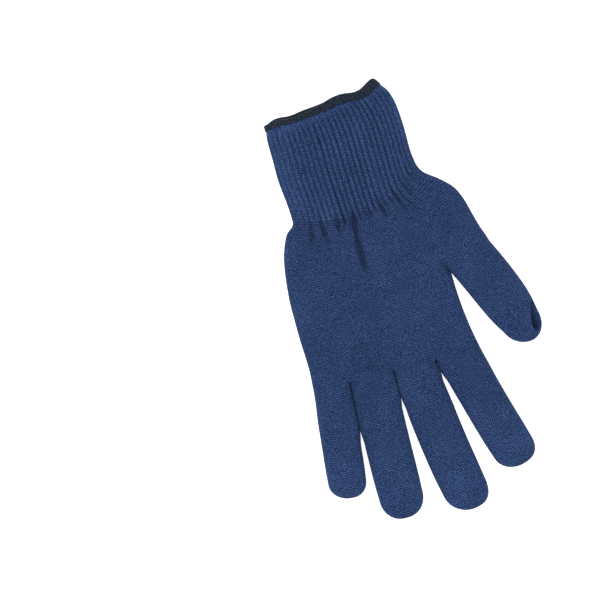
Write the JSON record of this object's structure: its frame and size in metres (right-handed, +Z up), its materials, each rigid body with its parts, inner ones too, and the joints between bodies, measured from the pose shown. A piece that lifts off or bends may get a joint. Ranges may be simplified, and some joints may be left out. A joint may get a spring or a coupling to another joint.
{
  "type": "knitted glove liner",
  "caption": "Seamless knitted glove liner with a long ribbed cuff, an overlocked edge and an open mouth, lying flat.",
  "frame": {"origin": "middle of the hand's flat underside, on the surface that the glove lies on", "axes": "+X towards the thumb side, +Y along the glove towards the cuff's mouth, +Z up out of the surface"},
  "size_m": [0.1361, 0.2459, 0.0107],
  "materials": {
    "knit_fabric": "matt plain jersey knit, navy",
    "rib_fabric": "matt 1x1 rib knit, navy",
    "overlock_thread": "matt overlock thread, charcoal black"
  },
  "bodies": {
    "root": {"hand_heel": "knit_fabric", "palm": "knit_fabric", "little_finger": "knit_fabric", "ring_finger": "knit_fabric", "middle_finger": "knit_fabric", "forefinger": "knit_fabric", "thumb": "knit_fabric", "ribbed_cuff": "rib_fabric", "overlock_edge": "overlock_thread"}
  },
  "joints": []
}
